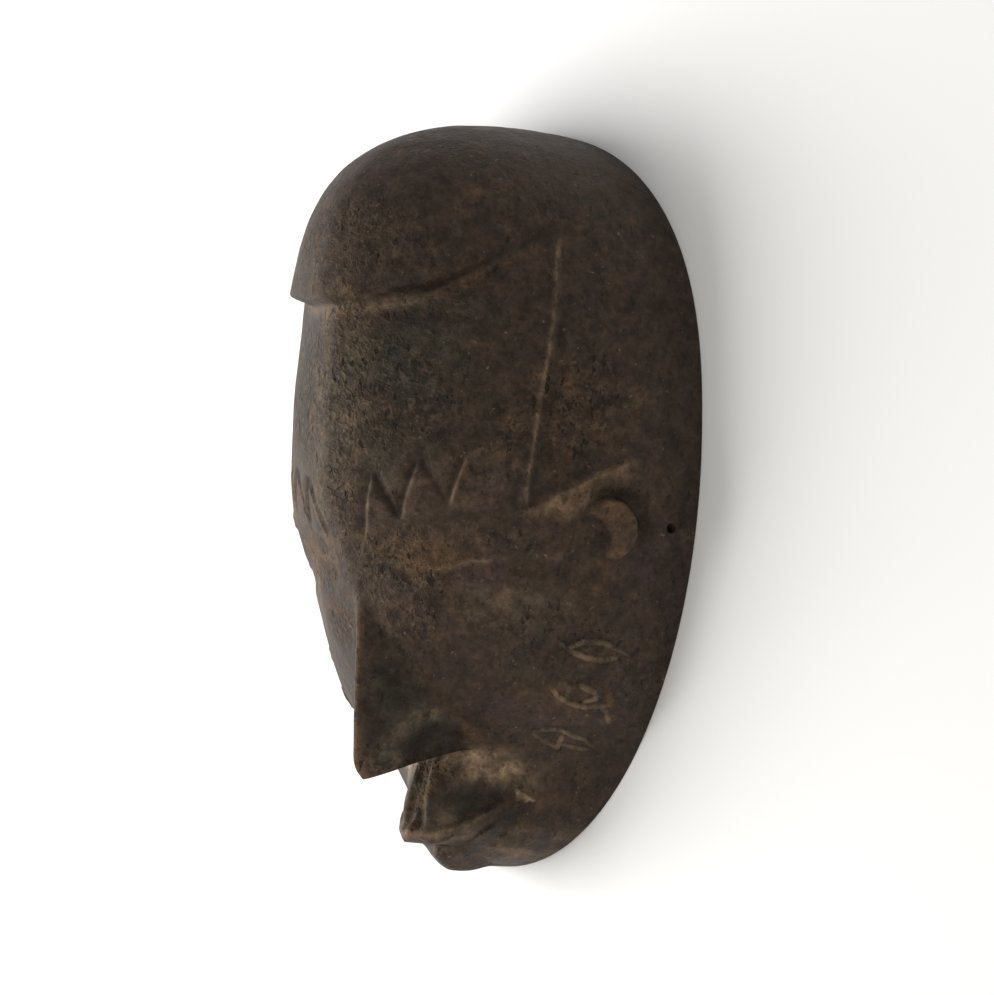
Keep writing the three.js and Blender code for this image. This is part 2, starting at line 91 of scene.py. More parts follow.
# The mask's sizes, in millimetres, for one side of the face; the other side repeats it. A list of pairs is
# either a curve's stations, (place, value), or a line drawn on the face, (x, y).
maskSizes = {
    "rim": {"top": 144.0, "bottom": -142.0, "half": 89.45, "widestAt": 21.0,
            "upperRound": (2.5, 2.2), "lowerRound": (2.0, 2.0)},
    "crown": {"from": 60.0, "depth": 109.0, "roundness": 2.6},
    "faceDepth": [(-142, 33), (-132, 38.5), (-124, 41), (-113, 44), (-104, 47), (-96, 52.5), (-85, 64),
                  (-62, 81), (-40, 91.5), (-26, 98), (-8, 106.5), (20, 108.5), (60, 109)],
    "jawRound": 11.0,
    "fullness": [(-142, 2.05), (-133, 1.6), (-122, 1.28), (-108, 1.12), (-98, 1.18), (-82, 1.48),
                 (-56, 1.46), (13.5, 1.48), (69.5, 1.45), (144, 1.9)],
    # acrossShare: how much of a height above a slanting line lies straight across it
    "hair": {"line": [(0, 64.5), (15, 66), (34, 70.5), (48, 81), (60, 92.5), (80, 104)], "acrossShare": 0.9,
             "proud": 5.5, "cove": 4.2, "easeUp": 30, "easeDown": 22, "stepHalf": 1.9},
    # limit and fallAbove: a form of the face sinks away beyond this half width, and this fast above its top
    "nose": {"top": -40.0, "bottom": -97.7, "ridge": 90.5, "tipRound": 8.0, "droop": 0.385,
             "half": [(-97.7, 15.5), (-88, 15), (-78, 13.6), (-70, 8.8), (-60, 4.6), (-48, 2.6), (-40, 2.2)],
             "wallHalf": 0.35, "ridgeRound": 1.2, "limit": 24.0, "fallAbove": 0.8, "blend": 2.4},
    "nostril": {"place": (12.0, -98.0, 59.0), "depth": 5.2, "along": 12.5, "high": 9.0, "stretch": 0.75,
                "downFlank": (0.34, -0.94), "inward": 0.9, "back": 0.43, "steepness": 2.8},
    # shoulder and scoop: height or depth, x, half width, then middle and half length up the lip, as shares of it
    "lip": {"top": -101.0, "setBack": 8.0, "channelDepth": 3.5, "channelHalf": 4.3, "channelFlare": 2.0,
            "wallHalf": 0.5, "limit": 29.0, "fallAbove": 1.5, "blend": 3.0, "crest": 0.7,
            "shoulder": (3.8, 8.0, 3.6, 0.45, 0.32), "roll": (2.4, 0.13, 0.09),
            "scoop": (4.2, 15.5, 7.5, 0.36, 0.2), "scoopInner": 0.62,
            "edgeHeight": [(0, -131), (4, -133.2), (7.5, -133.6), (12.5, -131.4), (16.6, -129.1),
                           (21.2, -124.8), (24.4, -121.4), (27, -116.4), (31, -111), (44, -112), (60, -116)],
            "edgeDepth": [(0, 58.8), (4, 55.5), (7.5, 51.2), (12.5, 47.6), (16.6, 43.4), (21.2, 37.6),
                          (24.4, 31), (27, 24), (31, 14)]},
    "corner": {"top": (25.4, -112.0), "tip": (30.6, -116.9), "foot": (25.9, -117.2),
               "depth": 1.7, "slope": 0.55, "wall": 2.5},
    "chin": {"ridge": [(-142, 29), (-139.8, 36), (-137, 41.5), (-134, 42.5), (-120, 43.5)],
             "slope": [(-142, 1.2), (-137, 0.9), (-134, 0.64), (-130, 0.42), (-126, 0.45), (-121, 0.58),
                       (-117, 0.66)],
             "groove": [(-142, 4.5), (-138.5, 7.5), (-134, 13), (-130, 18.3), (-124, 23.5), (-117, 27)],
             "top": -117.0, "jut": 2.6, "ridgeRound": 2.0, "limit": 30.0, "fallAbove": 2.0, "blend": 1.5},
    "pastLimit": 3.0,  # how fast the nose, lip and chin sink beyond their limits
    "temple": {"line": [(60.5, 92), (62.2, 66), (61.5, 38), (59.8, 14), (57, -11)],
               "slant": [(57, -11), (68.5, -1.5), (76, 5.5), (83.5, 13)], "acrossShare": 0.75,
               "sunk": 1.5, "reach": 30.0, "stepHalf": 0.7, "welt": 0.95, "weltHalf": 0.6,
               "band": 1.6, "bandWidth": 9.0},
    # outer, bite and dip: circles about the ear's middle, (back, up, radius)
    "ear": {"centre": (74.3, -16.3), "outer": (-0.6, -0.7, 11.4), "bite": (-9.9, -5.8, 9.7), "height": 3.4,
            "dip": (-5.5, -3.5, 5.5), "dipDepth": 1.3, "scoopDepth": 4.0, "scoopWidth": 9.5, "reach": 32.0},
    # cut and ball: (x, y, radius); crease: (x, y, half width, half height)
    "eye": {"lid": [(28.6, -34.4), (31.5, -32.9), (35.8, -31.4), (40.1, -30.4), (44.2, -30.4), (54.3, -27.4)],
            "inner": [(28.6, -34.6), (31.5, -39.9), (35.5, -45.5)],
            "lidHeight": 1.1, "lidHalf": 1.2, "cut": (37, -38.5, 10.5), "cutDepth": 1.2,
            "crease": (49, -31.5, 13, 4.6), "creaseDepth": 2.7, "ball": (24.5, -50, 11.0), "ballHeight": 1.6,
            "reach": 16.0},
    "zigzag": {"stops": [(9.0, -22.3), (16.3, 1.5), (22.4, -16.3), (30.6, 6.4), (37.4, -10.5), (43.4, 7.7)],
               "depth": 1.0, "lift": 0.35, "valley": 1.2, "reach": 8.0},
    "marks": {
        "strokes": [
            [(57.2, -58.9), (59.3, -61.9), (62.4, -63.9), (65.5, -64.4), (68.4, -63.4)],
            [(58.8, -60.3), (62.5, -57.9), (66.7, -57.9), (68.9, -59.9), (70.6, -62.0)],
            [(51.6, -74.4), (52.1, -77.9), (54.2, -80.4), (57.2, -81.4), (60.6, -80.9), (63.6, -80.4)],
            [(54.4, -77.4), (56.2, -74.4), (58.8, -73.9), (61.0, -75.9), (60.6, -78.4), (57.5, -79.7)],
            [(60.8, -80.4), (61.1, -82.9), (59.9, -86.9)],
            [(38.5, -90.9), (42.1, -89.9), (47.0, -89.9), (48.8, -92.4), (50.9, -93.4), (51.5, -95.9)],
            [(38.0, -91.4), (38.9, -93.4), (41.6, -96.4), (46.4, -91.4)],
            [(43.8, -95.4), (46.1, -96.4), (50.2, -96.9)],
        ],
        "half": 1.05, "height": 0.9, "reach": 8.0},
    "tieHole": {"height": -15.0, "depth": 12.0, "radius": 2.0, "drillLength": 240.0, "drillSides": 32},
    "hollow": {"across": 0.875, "along": 0.905, "deep": 0.87, "toolMarks": 0.35},
    "wave": {"height": 0.28, "long": 17.0, "short": 7.3},
}

meshSizes = {
    # Quads of the skin, zone by zone: rows from crown to chin, and columns from the middle to the rim
    "rows": (60, 6, 44, 4, 52, 18, 26, 10, 24),
    "columns": (40, 4, 34),
    "crownTurn": 0.97, "crownPower": 0.77,  # how the crown's rows crowd towards the rim
    "uprightMargin": 1.5, "slantMargin": 1.3,  # how far guide lines stand outside the temple's steps
    "hollowAcross": 56,
    "hollowRows": 72,
    "coarseReach": 5.0,  # millimetres from a carved stroke, for the first split of quads
    "fineReach": 2.4,  # and for the second
}

rim = maskSizes["rim"]
crown = maskSizes["crown"]
hair = maskSizes["hair"]
nose = maskSizes["nose"]
lip = maskSizes["lip"]
chin = maskSizes["chin"]
temple = maskSizes["temple"]
ear = maskSizes["ear"]
eye = maskSizes["eye"]
zigzag = maskSizes["zigzag"]
marks = maskSizes["marks"]

faceDepth = smoothThrough(maskSizes["faceDepth"])
fullness = smoothThrough(maskSizes["fullness"])
hairLine = smoothThrough(hair["line"])
lipEdge = smoothThrough(lip["edgeHeight"])
lipDepth = smoothThrough(lip["edgeDepth"])
noseHalf = smoothThrough(nose["half"])
chinRidge = smoothThrough(chin["ridge"])
chinSlope = smoothThrough(chin["slope"])
chinGroove = smoothThrough(chin["groove"])
templeEdge = smoothThrough([(y, x) for x, y in temple["line"]])
slantEdge = smoothThrough([(0, -16), (40, -13), *temple["slant"], (90, 18)])  # led on to the middle and the rim


# The plain shell: side runs from -1 at one rim to 1 at the other

def halfWidth(y):
    upper = y > rim["widestAt"]
    reach = np.where(upper, rim["top"] - rim["widestAt"], rim["widestAt"] - rim["bottom"])
    along = np.where(upper, rim["upperRound"][0], rim["lowerRound"][0])
    across = np.where(upper, rim["upperRound"][1], rim["lowerRound"][1])
    t = np.clip(np.abs(y - rim["widestAt"]) / reach, 0, 1)
    return rim["half"] * (1 - t ** along) ** (1 / across)


def midDepth(y):
    up = np.clip((y - crown["from"]) / (rim["top"] - crown["from"]), 0, 1)
    dome = crown["depth"] * (1 - up ** crown["roundness"]) ** (1 / crown["roundness"])
    low = np.clip((y - rim["bottom"]) / maskSizes["jawRound"], 0, 1)
    return np.where(y > crown["from"], dome, faceDepth(y) * np.sqrt(1 - (1 - low) ** 2))


def shellPoints(side, y):
    power = fullness(y)
    depth = midDepth(y) * (1 - np.minimum(np.abs(side), 1) ** power) ** (1 / power)
    return np.stack([side * halfWidth(y), y + 0 * side, depth], -1)


def shellNormals(side, y):
    sideStep, heightStep, offEnd = 2e-3, 0.05, 0.002
    across = shellPoints(np.minimum(side + sideStep, 1), y) - shellPoints(np.maximum(side - sideStep, -1), y)
    high = np.minimum(y + heightStep, rim["top"] - offEnd)
    low = np.maximum(y - heightStep, rim["bottom"] + offEnd)
    along = shellPoints(side, high) - shellPoints(side, low)
    normal = np.cross(across, along)
    length = np.linalg.norm(normal, axis=-1, keepdims=True)
    return normal / np.maximum(length, 1e-9)


# Places on the shell that are given in front view
def onShell(x, y):
    x, y = np.asarray(x, float), np.asarray(y, float)
    return shellPoints(x / halfWidth(y), y)


# A line drawn in front view, as close places on the shell
def strokeOnShell(stops, step=1.5):
    found = []
    for (x0, y0), (x1, y1) in zip(stops[:-1], stops[1:]):
        count = max(int(math.hypot(x1 - x0, y1 - y0) / step), 1)
        t = np.arange(count) / count
        found.append(onShell(x0 + (x1 - x0) * t, y0 + (y1 - y0) * t))
    found.append(onShell([stops[-1][0]], [stops[-1][1]]))
    return np.concatenate(found)


# Distance to a stroke, the signed distance across it and how far along it, for points within reach
def strokeDistance(points, stroke, reach):
    distance = np.full(len(points), 1e3)
    across = np.zeros(len(points))
    along = np.zeros(len(points))
    low, high = stroke.min(0) - reach, stroke.max(0) + reach
    near = np.flatnonzero(((points > low) & (points < high)).all(-1))
    p = points[near]
    bestDistance = np.full(len(p), 1e3)
    bestAcross = np.zeros(len(p))
    bestAlong = np.zeros(len(p))
    for i in range(len(stroke) - 1):
        a, run = stroke[i], stroke[i + 1] - stroke[i]
        t = np.clip(((p - a) @ run) / (run @ run), 0, 1)
        off = p - (a + t[:, None] * run)
        d = np.linalg.norm(off, axis=-1)
        sideways = np.array([-run[1], run[0], 0]) / max(math.hypot(run[0], run[1]), 1e-9)
        closer = d < bestDistance
        bestDistance = np.where(closer, d, bestDistance)
        bestAcross = np.where(closer, np.sign(off @ sideways) * d, bestAcross)
        bestAlong = np.where(closer, (i + t) / (len(stroke) - 1), bestAlong)
    distance[near], across[near], along[near] = bestDistance, bestAcross, bestAlong
    return distance, across, along


# Relief raised from the shell along its normal, on one side of the face and mirrored by taking |x|

def hairRelief(away, y):
    above = (y - hairLine(away)) * hair["acrossShare"]
    proud = hair["proud"] * (1 - 0.65 * smoothStep(28, 58, away)) * (1 - smoothStep(60, 68, away))
    cove = hair["cove"] * smoothStep(62, 30, away)
    step = smoothStep(-hair["stepHalf"], hair["stepHalf"], above)
    up = proud * step * np.exp(-np.maximum(above, 0) / hair["easeUp"]) * smoothStep(140, 110, y)
    return up - cove * (1 - step) * np.exp(np.minimum(above, 0) / hair["easeDown"])


# Height over the slanting edge above the ear, and the width of the raised band that lies below it
def slantBand(away, y):
    over = (y - slantEdge(away)) * temple["acrossShare"]
    return over, temple["bandWidth"] * smoothStep(52, 70, away) + 0.5


def templeRelief(away, y):
    half, reach = temple["stepHalf"], temple["reach"]
    behind = away - templeEdge(y)
    over, width = slantBand(away, y)
    below = smoothStep(104, 78, y + 0.4 * (away - 60))
    fade = 1 - smoothStep(reach * 0.3, reach, behind)
    sunk = -temple["sunk"] * smoothStep(-half, half, behind) * smoothStep(-half, half, over) * below * fade
    upright = bell(behind, temple["weltHalf"]) * smoothStep(-16, -11, y) * smoothStep(94, 89, y)
    slanting = bell(over, temple["weltHalf"]) * smoothStep(54, 57, away) * smoothStep(86, 80, away)
    band = smoothStep(-width, -width * 0.55, over) * smoothStep(0.8, -0.8, over)
    band = band * smoothStep(56, 62, away) * smoothStep(86, 78, away)
    return sunk + temple["welt"] * np.maximum(upright, slanting) + temple["band"] * band


earX, earY = (np.array([value]) for value in ear["centre"])
earPlace = onShell(earX, earY)[0]
earNormal = shellNormals(earX / halfWidth(earY), earY)[0]
earUp = np.array([0, 1, 0]) - earNormal * earNormal[1]
earUp = earUp / np.linalg.norm(earUp)
earBack = np.cross(earUp, earNormal)


# The crescent, and the scoop round its back; a and b run back and up from the ear's middle
def earRelief(p):
    a, b = (p - earPlace) @ earBack, (p - earPlace) @ earUp
    x, y, radius = ear["outer"]
    outside = np.hypot(a - x, b - y) - radius
    biteX, biteY, biteRadius = ear["bite"]
    inBite = biteRadius - np.hypot(a - biteX, b - biteY)
    beyond = np.maximum(outside, inBite)
    foot = smoothStep(-15, -8, b)  # where the crescent runs into the cheek
    crescent = smoothStep(0.9, -1.0, beyond) * (0.78 + 0.22 * smoothStep(0, -5, beyond)) * foot
    turn = np.degrees(np.arctan2(b - y, a - x))
    around = smoothStep(-25, 15, turn) * smoothStep(145, 105, turn)
    scoop = smoothStep(-1.5, 1.2, outside) * smoothStep(ear["scoopWidth"], 1.5, outside) * around
    dipX, dipY, dipRadius = ear["dip"]
    dip = bell(np.hypot(a - dipX, b - dipY), dipRadius) * smoothStep(-0.8, 1.2, inBite)
    near = (np.abs(a) < ear["reach"]) & (np.abs(b) < ear["reach"]) & (p[:, 2] > 4)
    raised = ear["height"] * crescent * near
    lowered = (ear["scoopDepth"] * scoop * (1 - crescent) + ear["dipDepth"] * dip) * near
    biteLine = bell(inBite - 0.7, 0.9) * smoothStep(-9, -3, b) * smoothStep(1, -1, outside)
    # The third value, the scoop and a line inside the bite, is darkened in the colour: painted shade in the
    # scoop
    return raised - lowered, crescent * near, np.maximum(scoop, biteLine) * near


lidStroke = strokeOnShell(eye["lid"])


# The eye is cut in under the lid line and beside the nose, and eases out over the cheek
def eyeRelief(p, away, y):
    distance, _, along = strokeDistance(p, lidStroke, eye["reach"])
    fold = eye["lidHeight"] * bell(distance, eye["lidHalf"])
    fold = fold * smoothStep(0, 0.12, along) * smoothStep(0.9, 0.4, along)
    lidY = np.interp(away, [stop[0] for stop in eye["lid"]], [stop[1] for stop in eye["lid"]])
    innerX = np.interp(-y, [-stop[1] for stop in eye["inner"]], [stop[0] for stop in eye["inner"]])
    inside = smoothStep(0.5, -1.1, y - lidY) * smoothStep(-0.8, 0.9, away - innerX)
    cutX, cutY, cutRadius = eye["cut"]
    cut = inside * bell(np.hypot((away - cutX) * 0.8, y - cutY), cutRadius)
    creaseX, creaseY, wide, high = eye["crease"]
    crease = bell(np.hypot((away - creaseX) / wide, (y - creaseY) / high), 1)
    ballX, ballY, ballRadius = eye["ball"]
    ball = bell(np.hypot(away - ballX, y - ballY), ballRadius)
    return fold - eye["cutDepth"] * cut - eye["creaseDepth"] * crease + eye["ballHeight"] * ball, cut, fold


zigzagStrokes = [strokeOnShell([start, end]) for start, end in zip(zigzag["stops"], zigzag["stops"][1:])]


# Rising strokes are sharp on their outer side, falling ones are soft valleys
def zigzagRelief(p):
    relief = np.zeros(len(p))
    cut = np.zeros(len(p))
    edge = np.zeros(len(p))
    for i, stroke in enumerate(zigzagStrokes):
        distance, across, along = strokeDistance(p, stroke, zigzag["reach"])
        near = distance < zigzag["reach"]
        ends = smoothStep(-0.02, 0.12, along) * smoothStep(1.02, 0.85, along)
        if i % 2 == 0:
            inner = smoothStep(5.0, 0, across) * (across >= 0) + smoothStep(-0.9, 0, across) * (across < 0)
            depth = zigzag["depth"] * inner * near
            lift = zigzag["lift"] * bell(across + 0.9, 0.8)
            # The rising stroke's outer edge is marked for a painted highlight
            edge = np.maximum(edge, bell(across + 0.7, 0.7) * ends * near)
            relief = np.minimum(relief, -depth * ends) + lift * ends * near
            dark = 0.55 * bell(across - 1.2, 1.2)
        else:
            depth = zigzag["valley"] * smoothStep(3.0, 0, distance)
            relief = np.minimum(relief, -depth * ends)
            dark = bell(distance, 1.7)
        cut = np.maximum(cut, dark * ends * near)
    return relief, cut, edge


markStrokes = [strokeOnShell(stops) for stops in marks["strokes"]]
chipStroke = strokeOnShell([maskSizes["corner"][name] for name in ("top", "tip", "foot", "top")])


# Each raised mark is thinner at its ends and a little lumpy
def markRelief(p):
    relief = np.zeros(len(p))
    for stroke in markStrokes:
        distance, _, along = strokeDistance(p, stroke, marks["reach"])
        thin = 0.55 + 0.45 * np.sin(math.pi * np.clip(along, 0, 1)) ** 0.5
        lump = 0.85 + 0.15 * np.sin(along * len(stroke) * 1.7 + len(stroke))
        dome = np.sqrt(np.clip(1 - (distance / (marks["half"] * thin * 1.25)) ** 2, 0, 1))
        relief = np.maximum(relief, marks["height"] * lump * thin * dome)
    return relief


# Where the surface is crusted or sooty, which way its colour leans, and where painted shade and painted
# highlights lie: (x, y, half width, half height, strength)
tonePatches = {
    "crust": [
        (20, 34, 24, 24, 0.8), (3, -10, 9, 26, 0.35), (25, -31, 17, 12, 0.85), (16, -52, 12, 10, 0.8),
        (67, 28, 10, 24, 0.8), (54, 12, 10, 18, 0.4), (50, -48, 14, 8, 0.35), (14, 90, 20, 26, 0.4),
        (0, 60, 14, 16, 0.5), (62, -62, 14, 20, 0.3), (2, -106, 6, 8, 0.5), (45, -22, 12, 5, 0.6)],
    # The warm patch under the nose, at (17, -104), is a painted highlight
    "warm": [
        (26, -28, 15, 10, 1.0), (32, -50, 10, 6, 0.35), (18, -48, 8, 7, 0.45), (17, -104, 10, 7, 0.6),
        (20, -90, 5, 6, 0.5), (44, -6, 8, 7, 0.4), (68, -32, 12, 6, 0.4), (30, 100, 30, 20, 0.2),
        (66, 26, 10, 20, 0.45), (55.5, 20, 4, 18, 0.5), (40, 72, 12, 5, 0.4), (40, -120, 12, 10, 0.25),
        (14, -134, 10, 5, 0.4), (58, -78, 12, 10, 0.35), (26, -109, 6, 6, 0.5), (1, -115, 5, 12, 0.6),
        (74, 34, 14, 60, 0.1)],
    "plum": [
        (78, 62, 12, 46, 0.25), (28, -6, 20, 12, 0.5), (50, -4, 10, 9, 0.7), (38, -35.5, 10, 4, 0.5),
        (82, -34, 8, 26, 0.6), (6, 112, 22, 14, 0.5), (36, -84, 14, 12, 0.5), (14, -131, 12, 4, 0.35),
        (6, -138, 8, 5, 0.8), (34, -62, 12, 10, 0.5), (30, 60, 14, 10, 0.4)],
    "olive": [
        (26, 44, 16, 26, 1.0), (16, 10, 16, 22, 0.6), (8, -78, 7, 18, 0.9), (48, -62, 10, 14, 0.5),
        (10, -116, 9, 9, 0.7), (6, 30, 8, 34, 0.7), (60, -46, 14, 10, 0.4), (72, -76, 12, 20, 0.5),
        (44, 58, 12, 16, 0.5), (24, -134, 8, 6, 0.5)],
    # Pale patches under the nose, on the lips, on the chin and on the channel's far wall are painted highlights
    "paleAndHighlight": [
        (8, -101.5, 5, 3, 0.7), (13, -100.5, 6, 3, 0.95), (20, -104.5, 8, 5, 0.95), (25, -108, 7, 5, 0.3),
        (44, -44, 12, 9, 0.2), (10, -106, 4, 3, 0.4), (8, 20, 6, 60, 0.16), (12, -124, 7, 4, 0.2),
        (10, -131, 8, 4, 0.15), (32, -132, 12, 6, 0.16), (20, -138, 10, 4, 0.3), (1, -113, 4, 10, 0.25),
        (30, -4, 22, 14, 0.1)],
    # Dark patches: the one at (81.3, 67.4) is a filled hole, and the two under the upper lip, at y -115.5, are
    # painted shade in the lip's scoop
    "sootAndShade": [
        (54, -8, 4.5, 3.5, 0.6), (81.3, 67.4, 2.4, 2.2, 1.0), (39.6, -24.6, 1.5, 1.5, 0.7),
        (73.5, 30.2, 1.8, 1.6, 0.7), (19.7, 30.9, 2.0, 1.8, 0.7), (22, -133, 3, 8, 0.4),
        (26.5, -120, 2, 2.6, 0.7), (21, -115.5, 5, 2.5, 0.6), (15, -115.5, 4.5, 3, 0.45)],
}


def patches(tone, point):
    away, y = np.abs(point[:, 0]), point[:, 1]
    found = np.zeros(len(point))
    for x0, y0, wide, high, strength in tonePatches[tone]:
        found = np.maximum(found, strength * bell(np.hypot((away - x0) / wide, (y - y0) / high), 1))
    return found


# Painted highlights where light catches the foot of the hair's step and the temple's line, and the raised band
# over the ear, partly its own tan and partly painted highlight
def highlightLines(away, y):
    hairFoot = bell(y - hairLine(away) + 3.5, 2.2) * smoothStep(62, 50, away)
    upright = bell(away - templeEdge(y), 0.65) * smoothStep(-14, -8, y) * smoothStep(92, 84, y)
    over, width = slantBand(away, y)
    band = smoothStep(-width, -width * 0.4, over) * smoothStep(1.2, -0.3, over)
    return hairFoot, upright, band * smoothStep(54, 60, away) * smoothStep(84, 74, away)


# Painted shade: dark lines where shade falls behind the temple's edge, under the upper lip, in the groove round
# the chin and under the hair's lower edge
def shadeLines(away, y):
    behind = bell(away - templeEdge(y) - 1.7, 1.0) * smoothStep(-14, -8, y) * smoothStep(70, 50, y)
    mouthLine = bell(y - lipEdge(away) + 0.4, 1.0) * smoothStep(30, 26, away)
    chinLine = bell(away - chinGroove(y), 1.0) * smoothStep(-141, -137, y) * smoothStep(-116, -121, y)
    underHair = bell(y - hairLine(away) - 0.4, 1.8) * smoothStep(12, 30, away) * smoothStep(64, 56, away)
    return np.maximum.reduce([0.6 * behind, 0.7 * mouthLine, 0.9 * chinLine, 0.75 * underHair])


# Painted highlights: light bands along the lips
def lipHighlights(away, y):
    lower = bell(y - lipEdge(away) + 4, 2.4) * smoothStep(28, 22, away)
    upper = bell(y - lipEdge(away) - 3, 1.3) * smoothStep(26, 18, away)
    return np.maximum(0.1 * lower, 0.2 * upper)


# Forms that stand out of the face: each gives how far it stands beyond the depth that is there already

def noseRise(away, y, depth):
    down = np.clip((nose["top"] - y) / (nose["top"] - nose["bottom"]), 0, 1)
    ridge = nose["ridge"] - nose["tipRound"] * smoothStep(0.84, 1.06, down) ** 1.5
    half = noseHalf(y)
    foot = shellPoints(half / np.maximum(halfWidth(y), half), y)[:, 2]
    slope = np.maximum((ridge - foot) / half, 1)
    rounded = np.sqrt(away ** 2 + nose["ridgeRound"] ** 2) - nose["ridgeRound"]
    plane = ridge - slope * rounded - np.maximum(y - nose["top"], 0) * nose["fallAbove"]
    plane = plane - np.maximum(away - nose["limit"], 0) * maskSizes["pastLimit"]
    keep = ramp(nose["bottom"] - nose["wallHalf"], nose["bottom"] + nose["wallHalf"], y)
    return keep * np.maximum(softMax(depth, plane, nose["blend"]) - depth, 0)


def upperLipRise(away, y, depth):
    edge = lipEdge(away)
    up = np.clip((y - edge) / (lip["top"] - edge), 0, 1)
    height, at, wide = lip["roll"]
    roll = height * bell(up - at, wide) * smoothStep(26, 14, away)
    deep, x, across, middle, along = lip["scoop"]
    across = np.where(away < x, across * lip["scoopInner"], across)
    scoop = deep * bell(away - x, across) * bell(up - middle, along)
    height, x, across, middle, along = lip["shoulder"]
    shoulder = height * bell(away - x, across) * bell(up - middle, along)
    half = lip["channelHalf"] + lip["channelFlare"] * smoothStep(0.6, 0.1, up)
    crest = lip["crest"] * bell(away - half - 0.6, 1.3) * smoothStep(0.1, 0.35, up)
    channel = lip["channelDepth"] * smoothStep(half, 0.9, away) * smoothStep(0.05, 0.2, up)
    surface = lipDepth(away) - lip["setBack"] * up ** 1.6 * (1 - away / 45)
    surface = surface + roll - scoop + crest + shoulder - channel
    surface = surface - np.maximum(y - lip["top"], 0) * lip["fallAbove"]
    surface = surface - np.maximum(away - lip["limit"], 0) * maskSizes["pastLimit"]
    keep = ramp(-lip["wallHalf"], lip["wallHalf"], y - edge)
    return keep * np.maximum(softMax(depth, surface, lip["blend"]) - depth, 0)


def chinRise(away, y, depth):
    rounded = np.sqrt(away ** 2 + chin["ridgeRound"] ** 2) - chin["ridgeRound"]
    surface = chinRidge(y) - chinSlope(y) * rounded
    surface = surface - np.maximum(away - chin["limit"], 0) * maskSizes["pastLimit"]
    surface = surface - np.maximum(y - chin["top"], 0) * chin["fallAbove"]
    within = smoothStep(0.9, -0.9, away - chinGroove(y)) * smoothStep(2, 16, depth)
    return within * np.maximum(softMax(depth, surface, chin["blend"]) - depth, 0)


# How deep the little three-sided chip at the end of the mouth is: one long slope between two steep walls
def cornerNotch(away, y):
    corner = maskSizes["corner"]
    depth = np.full(len(away), corner["depth"])
    corners = [corner["top"], corner["tip"], corner["foot"]]
    for (x0, y0), (x1, y1) in zip(corners, corners[1:] + corners[:1]):
        length = math.hypot(x1 - x0, y1 - y0)
        inside = -((away - x0) * (y1 - y0) - (y - y0) * (x1 - x0)) / length
        slope = corner["slope"] if (x0, y0) == corner["top"] else corner["wall"]
        depth = np.minimum(depth, np.maximum(-inside, 0) * slope)
    return depth


# Hollows the side of each nose wing; gives each point's distance from the hollow, and its share above it
def carveNostril(point, noseOut):
    nostril = maskSizes["nostril"]
    x0, y0, z0 = nostril["place"]
    downX, downZ = nostril["downFlank"]
    x, z = np.abs(point[:, 0]) - x0, point[:, 2] - z0
    downFlank = (downX * x + downZ * z) / nostril["along"]
    downFlank = np.where(downFlank > 0, downFlank * nostril["stretch"], downFlank)
    above = np.maximum(point[:, 1] - y0, 0) / nostril["high"]
    fromNostril = np.hypot(downFlank, above)
    scooped = nostril["depth"] * np.exp(-fromNostril ** nostril["steepness"])
    scooped = scooped * smoothStep(0.2, 1.5, noseOut)
    point[:, 0] -= np.sign(point[:, 0]) * nostril["inward"] * scooped
    point[:, 2] -= nostril["back"] * scooped
    return fromNostril, above


